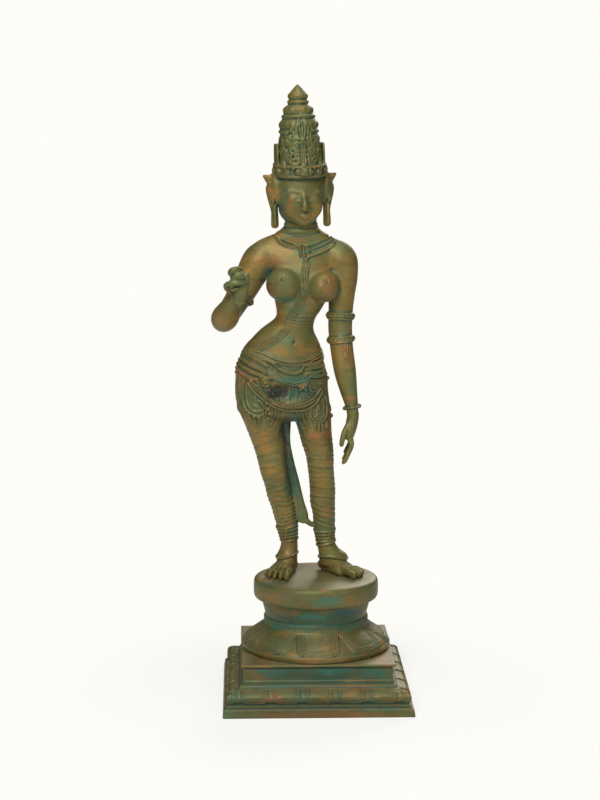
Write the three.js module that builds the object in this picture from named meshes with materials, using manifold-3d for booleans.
// A standing goddess in patinated bronze, cast in the South Indian manner, on a round lotus pedestal
// that sits on a square moulded plinth. Millimetres, +Z up; the figure faces -Y.
// The origin is the centre of the plinth's underside.

import * as THREE from "three";
import { mergeVertices } from "three/addons/utils/BufferGeometryUtils.js";
import Module from "manifold-3d";

const wasm = await Module();
wasm.setup();

// Square plinth, from the ground up: foot slab, step, band of petals, ledge, dado and top plate.
const slabWidth = 277.5;
const slabTaper = 2.75;
const slabHeight = 12.5;
const stepWidth = 266;
const stepHeight = 5;
const petalBandWidth = 262;
const petalBandHeight = 20.5;
const ledgeWidth = 227;
const ledgeHeight = 3.5;
const dadoWidth = 216;
const dadoHeight = 25.5;
const plateWidth = 223.5;
const plateHeight = 4;
const petalsPerSide = 5;
const petalRelief = 3;

// Round pedestal, from its petalled skirt up to the disc that the figure stands on.
const skirtRadius = 107.5;
const skirtRim = 4;
const skirtHeight = 36;
const waistRadius = 75.5;
const beadBandRadius = 77.5;
const beadBandHeight = 9;
const drumRadius = 80;
const drumHeight = 28;
const discRadius = 92.5;
const discHeight = 33;
const skirtPetals = 8;
const skirtRelief = 2.4;

// The figure is laid out in thousandths of its own height, from its soles to the tip of its crown.
const figureHeight = 722.5;
const share = figureHeight / 1000;
// The casting stands this far off the pedestal, so that the two stay separate solids.
const seat = 0.3;

const roundSides = 32;
const degree = THREE.MathUtils.DEG2RAD;

// A closed geometry as a solid, and a solid as a geometry.
function solidOf(geometry) {
  const bare = geometry.clone();
  bare.deleteAttribute("normal");
  bare.deleteAttribute("uv");
  const merged = mergeVertices(bare, 1e-3);
  const corners = merged.index.array;
  const faces = [];
  for (let i = 0; i < corners.length; i += 3) {
    const [a, b, c] = corners.slice(i, i + 3);
    if (a !== b && b !== c && c !== a) faces.push(a, b, c);
  }
  return new wasm.Manifold(
    new wasm.Mesh({
      numProp: 3,
      vertProperties: merged.attributes.position.array,
      triVerts: new Uint32Array(faces),
    }),
  );
}

function geometryOf(solid) {
  const mesh = solid.getMesh();
  const geometry = new THREE.BufferGeometry();
  geometry.setAttribute("position", new THREE.BufferAttribute(mesh.vertProperties, 3));
  geometry.setIndex(new THREE.BufferAttribute(mesh.triVerts, 1));
  geometry.computeVertexNormals();
  return geometry;
}

const joined = (solids) => solids.reduce((whole, next) => whole.add(next));
const listOf = (count, make) => Array.from({ length: count }, (_, i) => make(i));

// A profile of half-widths and heights turned about Z: square with four sides, otherwise round.
function turned(profile, sides) {
  const square = sides === 4;
  const reach = square ? Math.SQRT2 : 1;
  const points = profile.map(([radius, height]) => new THREE.Vector2(radius * reach, height));
  const geometry = new THREE.LatheGeometry(points, sides);
  if (square) geometry.rotateY(45 * degree);
  return geometry.rotateX(90 * degree);
}

// A petal outline with its lower corners cut off, standing in the XZ plane, pushed through along Y.
function petalPrism(halfWidth, bottom, top, corner, from, to) {
  const outline = new THREE.Shape([
    new THREE.Vector2(-halfWidth, top),
    new THREE.Vector2(-halfWidth, bottom + corner),
    new THREE.Vector2(-halfWidth + corner, bottom),
    new THREE.Vector2(halfWidth - corner, bottom),
    new THREE.Vector2(halfWidth, bottom + corner),
    new THREE.Vector2(halfWidth, top),
  ]);
  return new THREE.ExtrudeGeometry(outline, { depth: to - from, bevelEnabled: false })
    .rotateX(90 * degree)
    .translate(0, to, 0);
}

// The square plinth: mouldings turned square, and petals raised on the quarter-round band. The last
// petals of each side stand just off the band's corners.
const petalFoot = slabHeight + stepHeight;
const petalCrown = petalFoot + petalBandHeight;
const dadoFoot = petalCrown + ledgeHeight;
const plateFoot = dadoFoot + dadoHeight;
const plinthHeight = plateFoot + plateHeight;

function petalBandProfile(lift) {
  const belly = petalBandWidth / 2 + lift;
  const overhang = (petalBandWidth - ledgeWidth) / 2;
  return [
    [belly - overhang * 0.14, petalFoot],
    [belly, petalFoot + petalBandHeight * 0.36],
    [belly - overhang * 0.23, petalFoot + petalBandHeight * 0.68],
    [belly - overhang * 0.57, petalFoot + petalBandHeight * 0.89],
    [belly - overhang * 0.97, petalCrown],
  ];
}

function squarePlinth() {
  const mouldings = turned(
    [
      [0, 0],
      [slabWidth / 2, 0],
      [slabWidth / 2 - slabTaper, slabHeight],
      [stepWidth / 2, slabHeight],
      [stepWidth / 2, petalFoot],
      ...petalBandProfile(0),
      [ledgeWidth / 2, dadoFoot],
      [dadoWidth / 2, dadoFoot],
      [dadoWidth / 2, plateFoot],
      [plateWidth / 2, plateFoot],
      [plateWidth / 2, plinthHeight],
      [0, plinthHeight],
    ],
    4,
  );
  const spacing = (petalBandWidth * 1.059) / (petalsPerSide + 1);
  const raisedBand = turned([[0, petalFoot], ...petalBandProfile(petalRelief), [0, petalCrown]], 4);
  const outline = [spacing * 0.42, petalFoot + petalRelief / 2, plinthHeight, spacing * 0.15];
  const row = listOf(petalsPerSide + 2, (i) => {
    const prism = petalPrism(...outline, -slabWidth, slabWidth);
    return prism.translate((i - (petalsPerSide + 1) / 2) * spacing, 0, 0);
  });
  const across = row.map((prism) => prism.clone().rotateZ(90 * degree));
  const [alongX, alongY] = [across, row].map((prisms) => prisms.map(solidOf));
  const ends = ([first, ...others]) => first.add(others.at(-1));
  const middles = (prisms) => joined(prisms.slice(1, -1));
  const outlines = joined([middles(alongX), middles(alongY), ends(alongX).intersect(ends(alongY))]);
  return solidOf(mouldings).add(solidOf(raisedBand).intersect(outlines));
}

// The round pedestal: a petalled skirt, a beaded band, a drum and the disc that carries the feet.
const pedestalHeight = skirtHeight + beadBandHeight + drumHeight + discHeight;

function skirtProfile(lift) {
  const reach = skirtRadius - skirtRelief - waistRadius;
  return listOf(4, (i) => {
    const turn = (i * 90 * degree) / 3;
    return [
      waistRadius + reach * (Math.cos(turn) * 0.6 + (1 - i / 3) * 0.4) + lift,
      skirtRim + (skirtHeight - skirtRim) * Math.sin(turn),
    ];
  });
}

function lotusPedestal() {
  const bandTop = skirtHeight + beadBandHeight;
  const discFoot = bandTop + drumHeight;
  const core = turned(
    [
      [0, 0],
      [skirtRadius, 0],
      [skirtRadius, skirtRim],
      ...skirtProfile(0),
      [beadBandRadius, skirtHeight],
      [beadBandRadius, bandTop - beadBandHeight * 0.1],
      [waistRadius, bandTop + drumHeight * 0.05],
      [drumRadius * 0.994, discFoot - drumHeight * 0.35],
      [drumRadius, discFoot],
      [discRadius * 0.97, discFoot + discHeight * 0.03],
      [discRadius, discFoot + discHeight * 0.28],
      [discRadius * 0.988, discFoot + discHeight * 0.64],
      [discRadius * 0.94, discFoot + discHeight * 0.88],
      [discRadius * 0.86, pedestalHeight],
      [0, pedestalHeight],
    ],
    roundSides,
  );
  const raisedSkirt = turned(
    [[0, skirtRim], ...skirtProfile(skirtRelief), [0, skirtHeight]],
    roundSides,
  );
  const halfWidth = skirtRadius * Math.sin((180 * degree) / skirtPetals) * 0.77;
  const outline = [halfWidth, skirtRim * 2, pedestalHeight, halfWidth * 0.3];
  const petals = listOf(skirtPetals, (i) => {
    const prism = petalPrism(...outline, -slabWidth, 0);
    return solidOf(prism.rotateZ((360 * degree * i) / skirtPetals));
  });
  return solidOf(core).add(solidOf(raisedSkirt).intersect(joined(petals)));
}

// A smooth curve through rows of numbers, read at any value of the rows' first number.
function through(rows) {
  const slope = (i, k) => {
    const before = rows[Math.max(i - 1, 0)];
    const after = rows[Math.min(i + 1, rows.length - 1)];
    return (after[k] - before[k]) / (after[0] - before[0]);
  };
  return (at) => {
    let i = rows.length - 2;
    while (i > 0 && rows[i][0] > at) i--;
    const step = rows[i + 1][0] - rows[i][0];
    const t = THREE.MathUtils.clamp((at - rows[i][0]) / step, 0, 1);
    return rows[i].map((value, k) => {
      const end = rows[i + 1][k];
      const rise = (2 * t - 3) * t * t;
      const ease = (t - 1) * t * step;
      return value * (1 + rise) - end * rise + ease * ((t - 1) * slope(i, k) + t * slope(i + 1, k));
    });
  };
}

// Skins a stack of rings, each a list of points that runs counter-clockwise seen from the last ring.
function skinned(rings) {
  const sides = rings[0].length;
  const centre = (ring) =>
    ring.reduce((sum, p) => sum.add(p), new THREE.Vector3()).divideScalar(sides);
  const points = [...rings.flat(), centre(rings[0]), centre(rings.at(-1))];
  const bottom = points.length - 2;
  const top = points.length - 1;
  const last = (rings.length - 1) * sides;
  const faces = [];
  for (let j = 0; j < sides; j++) {
    const k = (j + 1) % sides;
    for (let i = 0; i < rings.length - 1; i++) {
      const low = i * sides;
      const high = low + sides;
      faces.push(low + j, low + k, high + k, low + j, high + k, high + j);
    }
    faces.push(bottom, k, j, top, last + j, last + k);
  }
  const geometry = new THREE.BufferGeometry().setFromPoints(points);
  geometry.setIndex(faces);
  return geometry;
}

// The figure's own frames: the body stands on its soles, and the head turns and leans on the neck.
const headPlace = [-30, -2, 720];
const headTurn = 8;
const headLean = 1.6;
const bodyFrame = new THREE.Matrix4().makeScale(share, share, share);
const headFrame = bodyFrame
  .clone()
  .multiply(new THREE.Matrix4().makeTranslation(...headPlace))
  .multiply(new THREE.Matrix4().makeRotationZ(headTurn * degree))
  .multiply(new THREE.Matrix4().makeRotationY(-headLean * degree));

// A free form swept along a spine. Its rows hold a place along the form, the centre of the section
// there (right, back, up), the half-width, the depth to the front and the depth to the back.
class Form {
  constructor(rows, { level = false, back = [0, 1, 0], frame = bodyFrame, hang = (at) => at } = {}) {
    this.first = rows[0][0];
    this.last = rows.at(-1)[0];
    this.read = through(rows);
    this.level = level;
    this.back = back;
    this.frame = frame;
    this.hang = hang;
  }

  section(at) {
    const [, x, y, z, half, front, back] = this.read(at);
    const nudge = (this.last - this.first) * 1e-3;
    const [, x0, y0, z0] = this.read(Math.max(at - nudge, this.first));
    const [, x1, y1, z1] = this.read(Math.min(at + nudge, this.last));
    const along = new THREE.Vector3(x1 - x0, y1 - y0, z1 - z0).normalize();
    if (this.level) along.set(0, 0, 1);
    const deep = new THREE.Vector3(...this.back);
    deep.addScaledVector(along, -deep.dot(along)).normalize();
    const wide = new THREE.Vector3().crossVectors(deep, along);
    return { centre: new THREE.Vector3(x, y, z), wide, deep, half, front, back };
  }

  // A spot on the surface at an angle in degrees, 0 to the side and -90 to the front, with the
  // direction that faces away from the form there.
  spot(at, angle, lift = 0) {
    const { centre, wide, deep, half, front, back } = this.section(at);
    const [cos, sin] = [Math.cos(angle * degree), Math.sin(angle * degree)];
    const depth = sin < 0 ? front : back;
    const up = new THREE.Vector3()
      .addScaledVector(wide, cos / half)
      .addScaledVector(deep, sin / depth)
      .normalize();
    const place = centre.addScaledVector(wide, half * cos).addScaledVector(deep, depth * sin);
    return { place: place.addScaledVector(up, lift), up };
  }

  // The spot that a viewer in front sees at a given distance to the side, on a level form.
  frontSpot(x, z) {
    const [, middle, , , half] = this.read(z);
    const cos = THREE.MathUtils.clamp((x - middle) / half, -0.98, 0.98);
    return this.spot(z, -Math.acos(cos) / degree);
  }

  // A ring of surface points. Rings hang lower in some places than in others, as belts do.
  ring(at, sides, lift = 0) {
    return listOf(sides, (j) => {
      const angle = (360 * j) / sides;
      return this.spot(this.hang(at, angle), angle, lift).place.applyMatrix4(this.frame);
    });
  }

  // The form as one skin, with raised bands round it, each [from, to, lift].
  solid(sides, steps, bands = []) {
    const step = (this.last - this.first) / steps;
    const plain = listOf(steps + 1, (i) => [this.first + i * step, 0]).filter(([at]) =>
      bands.every(([from, to]) => at < from - step * 0.3 || at > to + step * 0.3),
    );
    const raised = bands.flatMap(([from, to, lift]) => [[from, 0], [(from + to) / 2, lift], [to, 0]]);
    const stations = [...plain, ...raised].sort((a, b) => a[0] - b[0]);
    return solidOf(skinned(stations.map(([at, lift]) => this.ring(at, sides, lift))));
  }
}

// Belts hang low at the front, towards the left thigh.
const within = (at, low, high, fade) =>
  THREE.MathUtils.smoothstep(at, low - fade, low) - THREE.MathUtils.smoothstep(at, high, high + fade);
const lowestAngle = -75;
const lowFront = (angle) => 1 - Math.cos((angle - lowestAngle) * degree);
const trunkHang = (at, angle) =>
  at + 16 * lowFront(angle) * within(at, 405, 455, 50);

// Trunk and legs have level sections, read by their height.
const trunk = new Form(
  [
    [322, -57, 8, 322, 22, 24, 30],
    [335, -62, 10, 335, 88, 48, 60],
    [360, -67, 9, 360, 96, 55, 70],
    [385, -70, 9, 385, 96, 56, 74],
    [410, -70, 8, 410, 95, 55, 70],
    [434, -73, 8, 434, 91, 52, 60],
    [459, -69, 8, 459, 83, 49, 48],
    [484, -65, 8, 484, 71, 46, 41],
    [509, -59, 8, 509, 54, 41, 36],
    [532, -42, 8, 532, 41, 37, 33],
    [545, -36, 8, 545, 44, 38, 34],
    [570, -31, 8, 570, 53, 41, 39],
    [595, -27, 9, 595, 58, 45, 45],
    [620, -26, 10, 620, 64, 45, 49],
    [645, -32, 11, 645, 82, 40, 46],
    [665, -34, 12, 665, 98, 34, 40],
    [680, -34, 12, 680, 94, 29, 34],
    [692, -34, 11, 692, 76, 27, 31],
    [702, -33, 8, 702, 52, 27, 29],
    [713, -31, 6, 713, 35, 28, 28],
    [748, -31, 4, 748, 32, 28, 28],
  ],
  { level: true, hang: trunkHang },
);
const rightLeg = new Form(
  [
    [14, -58, 27, 14, 22, 26, 24],
    [36, -60, 28, 36, 24, 26, 22],
    [49, -55, 31, 49, 20, 22, 20],
    [64, -54, 31, 64, 17.5, 20, 18],
    [76, -55, 31, 76, 17.5, 19, 18],
    [99, -58.5, 30, 99, 21, 22, 22],
    [112, -61.5, 29, 112, 23, 24, 24],
    [137, -66, 27, 137, 24.5, 26, 28],
    [161, -73, 23, 161, 26, 28, 32],
    [186, -77, 19, 186, 27.5, 29, 32],
    [211, -84, 14, 211, 28.5, 30, 29],
    [237, -89, 12, 237, 29.5, 31, 31],
    [261, -93, 11, 261, 32, 34, 36],
    [286, -98, 11, 286, 36, 38, 41],
    [311, -104, 11, 311, 40, 43, 47],
    [350, -113, 10, 350, 46, 50, 56],
    [385, -116, 10, 385, 40, 44, 50],
  ],
  { level: true },
);
const leftLeg = new Form(
  [
    [14, 34, 30, 14, 28, 22, 24],
    [36, 37, 28, 36, 31, 22, 24],
    [49, 27, 32, 49, 23, 21, 21],
    [62, 22, 33, 62, 19, 19, 19],
    [76, 20, 33, 76, 18.5, 18, 18],
    [99, 18.5, 32, 99, 22.5, 22, 22],
    [124, 17.5, 30, 124, 23.5, 25, 26],
    [149, 14.5, 26, 149, 26, 27, 31],
    [174, 14.5, 22, 174, 26.5, 28, 32],
    [199, 12.5, 17, 199, 26.5, 29, 30],
    [224, 10, 13, 224, 27, 30, 29],
    [249, 8, 11, 249, 29, 32, 32],
    [273, 3, 10, 273, 32, 35, 36],
    [298, -1.5, 10, 298, 34, 39, 42],
    [330, -7, 10, 330, 38, 44, 50],
    [370, -16, 10, 370, 40, 46, 54],
  ],
  { level: true },
);
// Arms, hands, feet and ears are read by the number of the section, which follows the spine.
const numbered = (rows) => rows.map(([x, y, z, half, deep], i) => [i, x, y, z, half, deep, deep]);
const limb = (rows, options) => new Form(numbered(rows), options);
const skyward = { back: [0, 0, 1] };

const rightUpperArm = limb([
  [-80, 14, 668, 24, 27],
  [-110, 13, 653, 36, 33],
  [-130, 12, 621, 33, 32],
  [-146, 9, 591, 28.5, 29],
  [-164, 6, 562, 25.5, 26],
  [-181, 3, 536, 24, 25],
  [-188, 0, 521, 18, 19],
]);
const rightForearm = limb(
  [
    [-187, 16, 526, 14, 14],
    [-187, 2, 526, 25, 24],
    [-184, -22, 536, 28, 27],
    [-176, -48, 552, 26, 23],
    [-166, -76, 572, 19, 17],
    [-160, -96, 588, 14, 12],
    [-157, -104, 598, 13, 11],
  ],
  skyward,
);
const leftArm = limb([
  [20, 13, 670, 26, 27],
  [46, 12, 653, 37, 33],
  [53, 11, 618, 32, 32],
  [52, 9, 584, 27.5, 29],
  [50, 7, 550, 25, 26],
  [49, 5, 510, 24.5, 25],
  [52, 3, 471, 23.5, 24],
  [59, 0, 423, 22.5, 22],
  [66, -3, 385, 18, 18],
  [73, -6, 350, 13, 14],
  [75.5, -7, 326, 12, 13],
]);

// An egg-shaped mass, such as a breast, a heel or a boss.
function egg([x, y, z], [wide, deep, high], sides = 8, rows = 6, frame = bodyFrame) {
  const geometry = new THREE.SphereGeometry(1, sides, rows)
    .rotateX(90 * degree)
    .scale(wide, deep, high)
    .translate(x, y, z);
  return solidOf(geometry.applyMatrix4(frame));
}

// A cord, strap or roll laid along a run of spots, half sunk into what it lies on.
function strand(spots, halfWidth, height, sides = 3, frame = bodyFrame) {
  const rings = spots.map(({ place, up }, i) => {
    const before = spots[Math.max(i - 1, 0)].place;
    const after = spots[Math.min(i + 1, spots.length - 1)].place;
    const along = after.clone().sub(before).normalize();
    const across = new THREE.Vector3().crossVectors(up, along).normalize();
    const off = new THREE.Vector3().crossVectors(along, across);
    return listOf(sides, (j) => {
      const turn = 90 * degree + (360 * degree * j) / sides;
      return place
        .clone()
        .addScaledVector(across, halfWidth * Math.cos(turn))
        .addScaledVector(off, height * Math.sin(turn))
        .applyMatrix4(frame);
    });
  });
  return solidOf(skinned(rings));
}

// Spots along a smooth line over the front of the body, drawn through [right, up] points.
function drawn(points, steps, forms = [trunk, rightLeg, leftLeg]) {
  const line = new THREE.CatmullRomCurve3(points.map(([x, z]) => new THREE.Vector3(x, 0, z)));
  return line.getSpacedPoints(steps).map(({ x, z }) => {
    const level = forms.filter((form) => z > form.first && z < form.last);
    const ahead = level.filter((form) => Math.abs(x - form.read(z)[1]) < form.read(z)[4]);
    const spots = (ahead.length ? ahead : level).map((form) => form.frontSpot(x, z));
    return spots.reduce((near, spot) => (spot.place.y < near.place.y ? spot : near));
  });
}

// The bare body with what is wrapped closely round it: belts, necklace, armlets, cuffs and creases.
function body() {
  const belts = [[402, 414, 5], [424, 441, 5.5], [442, 450, 4]];
  const collars = [[697, 707, 3.5]];
  const cuffs = [[41, 49, 3.5], [81, 90, 3.5], [92, 102, 3]];
  const creases = listOf(4, (i) => [124 + i * 46, 146 + i * 46, 2.4]);
  const breasts = [
    egg([-66, -22, 602], [36, 37, 34], 8, 6),
    egg([14, -22, 598], [33, 37, 32], 8, 6),
  ];
  return joined([
    trunk.solid(12, 16, [...belts, ...collars]),
    rightLeg.solid(8, 9, [...cuffs, ...creases]),
    leftLeg.solid(8, 9, [...cuffs, ...creases]),
    rightUpperArm.solid(8, 5, [[3.2, 3.55, 4.5]]),
    rightForearm.solid(8, 5),
    leftArm.solid(8, 8, [[4.15, 4.42, 4.5], [5.55, 5.85, 4.5], [8.95, 9.15, 5.5]]),
    ...breasts,
  ]);
}

// A finger or toe, thinning from its root to its tip.
function digit(points, root, tip, options) {
  const rows = points.map(([x, y, z], i) => {
    const thick = THREE.MathUtils.lerp(root, tip, i / (points.length - 1));
    return [x, y, z, thick, thick];
  });
  return limb(rows, options).solid(4, points.length - 1);
}

// The right hand is raised with its fingers curled together, as if it held a flower.
function rightHand() {
  const palm = limb([
    [-158, -106, 571, 6, 5],
    [-158, -109, 579, 11.5, 8],
    [-157, -113, 596, 15.5, 9],
    [-156, -115, 612, 16, 9],
    [-156, -115, 628, 13, 8],
  ]);
  const fingers = [
    [[-146, -114, 622], [-145, -127, 634], [-166, -130, 638], [-173, -120, 636]],
    [[-143, -112, 612], [-142, -130, 621], [-167, -130, 623]],
    [[-145, -110, 618], [-137, -115, 637]],
    [[-164, -108, 594], [-180, -122, 609], [-168, -130, 612]],
  ];
  return joined([palm.solid(7, 4), ...fingers.map((points) => digit(points, 7, 5.5, skyward))]);
}

// The left hand hangs loose beside the hip, seen from its edge.
function leftHand() {
  const palm = limb([
    [75, -7, 334, 12, 13],
    [72.5, -7, 318, 12, 16],
    [69, -7, 302, 11, 19],
    [66, -7, 290, 9, 18],
  ]);
  const fingers = [
    [[67, -20, 298], [70, -20, 274], [57, -18, 241]],
    [[67, -11, 298], [71, -10, 272], [54, -8, 236]],
    [[67, -2, 298], [70, -1, 273], [55, 1, 242]],
    [[67, 6, 298], [69, 8, 276], [60, 10, 256]],
    [[64, -16, 314], [53, -20, 295], [50, -22, 273]],
  ];
  return joined([palm.solid(7, 3), ...fingers.map((points) => digit(points, 5.5, 4.2))]);
}

// A bare foot, from the back of its heel to its toes: heel, ball and big toe are [right, back].
function foot(heel, ball, width, toes) {
  const between = (t) => heel.map((value, i) => THREE.MathUtils.lerp(value, ball[i], t));
  const row = (t, height, half, thick) => [...between(t), height, half * width, thick];
  const sole = limb(
    [
      row(0, 12, 0.34, 9),
      row(0.1, 12, 0.5, 17),
      row(0.34, 15, 0.6, 24),
      row(0.6, 12, 0.74, 21),
      row(0.85, 8, 0.96, 18),
      row(1, 4, 1, 11),
      row(1.1, 3, 0.92, 8),
    ],
    skyward,
  );
  const roots = toes.map(([x, y, thick], i) => {
    const [rootX, rootY] = between(0.9 - 0.04 * i);
    const root = [THREE.MathUtils.lerp(rootX, x, 0.6), THREE.MathUtils.lerp(rootY, y, 0.6), 7];
    return digit([root, [x, y, thick * 0.75]], thick, thick * 0.85, skyward);
  });
  return joined([sole.solid(7, 5), ...roots]);
}

const rightFoot = () =>
  foot([-45, 58], [-80, -16], 28, [
    [-64, -51, 8],
    [-77, -48, 6.5],
    [-88, -40, 6.2],
    [-97, -28, 6],
    [-103, -13, 5.6],
  ]);
const leftFoot = () =>
  foot([6, 55], [75, -6], 30, [
    [80, -53, 8],
    [92, -41, 6.5],
    [99, -28, 6.2],
    [104, -13, 6],
    [105, 3, 5.6],
  ]);

// Head, in its own frame: chin at zero, face towards -Y, with calm half-closed eyes.
function head() {
  const skull = new Form(
    [
      [-2, 0, -22, -2, 9, 10, 14],
      [5, 0, -18, 5, 20, 20, 20],
      [16, 0, -13, 16, 31, 29, 32],
      [33, 0, -8, 33, 41, 35, 42],
      [50, 0, -4, 50, 46, 39, 48],
      [68, 0, -1, 68, 48, 41, 50],
      [88, 0, 2, 88, 48, 41, 52],
      [108, 0, 4, 108, 45, 38, 50],
    ],
    { level: true, frame: headFrame },
  );
  const nose = new Form(
    [
      [29, 0, -40, 29, 6, 5, 6],
      [33, 0, -42, 33, 9, 10, 8],
      [40, 0, -42, 40, 6, 9, 8],
      [52, 0, -41, 52, 4, 6, 6],
      [66, 0, -40, 66, 5, 3, 6],
    ],
    { level: true, frame: headFrame },
  );
  const inHead = (centre, radii) => egg(centre, radii, 6, 3, headFrame);
  const features = [
    inHead([0, -40, 20.5], [10, 5, 2.6]),
    inHead([0, -38.5, 15.5], [8, 5, 2.8]),
    inHead([-19, -33, 54], [12, 8, 6]),
    inHead([19, -33, 54], [12, 8, 6]),
    inHead([0, 24, 34], [43, 26, 34]),
  ];
  const brows = [-1, 1].map((side) => {
    const arch = listOf(4, (i) => skull.frontSpot(side * (7 + i * 9), 66 + 4 * Math.sin(i * 60 * degree)));
    return strand(side < 0 ? arch : arch.reverse(), 2, 2, 3, headFrame);
  });
  return joined([skull.solid(10, 7), nose.solid(5, 3), ...features, ...brows]);
}

// Long ears with hanging lobes, under a flaring ear ornament that meets the crown.
function ears() {
  const ear = [-1, 1].map((side) => {
    const bar = new Form(
      [
        [-2, side * 53, 3, -2, 5, 5, 5],
        [4, side * 53, 3, 4, 9, 6, 6],
        [22, side * 53, 4, 22, 8, 6, 6],
        [40, side * 55, 5, 40, 8, 8, 8],
        [58, side * 57, 5, 58, 10.5, 10, 11],
        [74, side * 58, 5, 74, 12, 12, 14],
        [83, side * 57, 5, 83, 11, 12, 14],
      ],
      { level: true, frame: headFrame },
    );
    const flare = new Form(
      [
        [80, side * 56, 4, 80, 11, 9, 12],
        [91, side * 58, 4, 91, 13, 10, 14],
        [101, side * 60, 4, 101, 14, 10, 14],
        [104, side * 58, 4, 104, 12, 8, 12],
      ],
      { level: true, frame: headFrame },
    );
    return joined([bar.solid(5, 5), flare.solid(5, 2)]);
  });
  return joined(ear);
}

// The tall tiered crown, turned about the head's own axis, from its headband to its pointed knob.
function crown() {
  const profile = [
    [0, 98], [55, 98], [56.5, 106], [49, 117], [46, 136], [45.5, 160], [38, 179], [41, 186],
    [35, 191], [39.5, 200], [30.5, 211], [34.5, 217], [28, 222], [30.5, 230], [20, 239], [22.5, 245],
    [17, 250], [21, 257], [0, 280],
  ];
  const tiers = turned(profile, 10).applyMatrix4(headFrame);
  const wheel = (angle, radius, height) => [
    radius * Math.cos(angle * degree),
    radius * Math.sin(angle * degree),
    height,
  ];
  const bosses = listOf(6, (i) => egg(wheel(30 * i - 165, 55, 106), [7, 7, 7], 4, 2, headFrame));
  // Four upright plates face front, back and sides, and a spike with a boss rises before the front one.
  const plates = listOf(4, (i) => {
    const outline = new THREE.Shape();
    outline.moveTo(-21, 112);
    outline.lineTo(21, 112);
    outline.lineTo(24, 140);
    outline.lineTo(20, 163);
    outline.lineTo(-20, 163);
    outline.lineTo(-24, 140);
    const plate = new THREE.ExtrudeGeometry(outline, { depth: 10, bevelEnabled: false })
      .rotateX(90 * degree)
      .translate(0, -41, 0)
      .rotateZ(90 * i * degree);
    return solidOf(plate.applyMatrix4(headFrame));
  });
  const spike = new Form(
    [
      [102, 0, -55, 102, 6, 8, 14],
      [150, 0, -50, 150, 5, 7, 14],
      [185, 0, -43, 185, 4.5, 6, 14],
      [217, 0, -34, 217, 3, 5, 14],
    ],
    { level: true, frame: headFrame },
  );
  const studs = [
    egg([0, -54, 171], [8, 8, 8], 5, 3, headFrame),
    egg([0, -61, 121], [8, 7, 8], 5, 3, headFrame),
  ];
  return joined([solidOf(tiers), ...bosses, ...plates, spike.solid(5, 3), ...studs]);
}

// Pendants of the necklace, and the sacred thread that crosses from the left shoulder to the hip.
function chestOrnaments() {
  const necklace = [[-94, 699], [-80, 689], [-60, 681], [-30, 675], [0, 680], [18, 688], [32, 698]];
  const pendants = [-36, -30, -24].map((x) => [[x, 676], [x, 666], [x + 1, 657]]);
  const thread = [
    [44, 684], [28, 678], [4, 668], [-14, 657], [-25, 640], [-29, 618], [-28, 592], [-31, 570],
    [-42, 550], [-50, 530], [-54, 508], [-66, 492], [-90, 478], [-122, 470], [-146, 466],
  ];
  return joined([
    strand(drawn(necklace, 9, [trunk]), 6, 6),
    strand(drawn(thread, 14, [trunk]), 9, 6),
    ...pendants.map((line) => strand(drawn(line, 2, [trunk]), 3, 4)),
  ]);
}

// Hip cloth, belts and straps, and the festoons and pendants that hang from them over the thighs.
function girdles() {
  const festoons = [
    [[-141, 409], [-116, 381], [-73, 355], [-28, 355], [11, 382], [21, 395]],
    [[-150, 406], [-150, 378], [-140, 356], [-128, 344], [-116, 345], [-106, 360]],
    [[-10, 352], [-4, 338], [8, 330], [18, 334], [25, 348], [27, 372]],
  ].map((points, i) => strand(drawn(points, i ? 6 : 12), i ? 5 : 9, 7));
  const tassels = [
    [-134, 344], [-120, 336], [-104, 340], [-90, 338], [-30, 334], [-12, 334], [14, 320],
  ].map(([x, z]) => egg(drawn([[x, z], [x, z - 1]], 1)[0].place.toArray(), [6, 7, 13], 5, 3));
  const [claspSpot] = drawn([[-104, 402], [-103, 401]], 1);
  const [bossSpot] = drawn([[-28, 394], [-28, 393]], 1);
  const claspAt = claspSpot.place.toArray();
  const bossAt = bossSpot.place.toArray();
  const studs = [
    egg(claspAt, [12, 9, 13], 6, 3),
    egg(bossAt, [9, 7, 8], 6, 3),
    egg([24, 2, 412], [7, 8, 8], 4, 2),
    egg([28, 0, 331], [8, 8, 10], 4, 2),
  ];
  return joined([...festoons, ...tassels, ...studs]);
}

// The end of the hip cloth falls between the legs and is caught against the left calf.
function clothTail() {
  const tail = new Form(
    [
      [104, -24, 24, 104, 5, 5, 6],
      [112, -29, 24, 112, 14, 6, 8],
      [124, -30, 23, 124, 15, 7, 9],
      [150, -38, 21, 150, 15, 7, 10],
      [197, -49, 16, 197, 15, 7, 10],
      [240, -58, 12, 240, 13, 7, 10],
      [280, -63, 9, 280, 11, 8, 12],
      [330, -62, 7, 330, 12, 10, 14],
    ],
    { level: true },
  );
  const hook = digit([[-26, 24, 118], [-16, 25, 107], [-6, 27, 100], [4, 29, 99]], 6, 4.5, skyward);
  return joined([tail.solid(6, 7), hook]);
}

function standingFigure() {
  const belowSoles = new THREE.BoxGeometry(400, 400, 60).translate(0, 0, -30);
  const cast = joined([
    body(),
    rightHand(),
    leftHand(),
    rightFoot(),
    leftFoot(),
    head(),
    ears(),
    crown(),
    chestOrnaments(),
    girdles(),
    clothTail(),
  ]);
  return cast.subtract(solidOf(belowSoles));
}

const bronze = new THREE.MeshStandardMaterial({ color: 0x6b6238, roughness: 0.55, metalness: 0.6 });
const verdigris = new THREE.MeshStandardMaterial({ color: 0x4f6a52, roughness: 0.65, metalness: 0.4 });

const object = new THREE.Group();
function place(name, solid, material, height) {
  const mesh = new THREE.Mesh(geometryOf(solid), material);
  mesh.name = name;
  mesh.position.z = height;
  object.add(mesh);
}
place("square_plinth", squarePlinth(), verdigris, 0);
place("lotus_pedestal", lotusPedestal(), verdigris, plinthHeight);
place("figure", standingFigure(), bronze, plinthHeight + pedestalHeight + seat);
export default object;
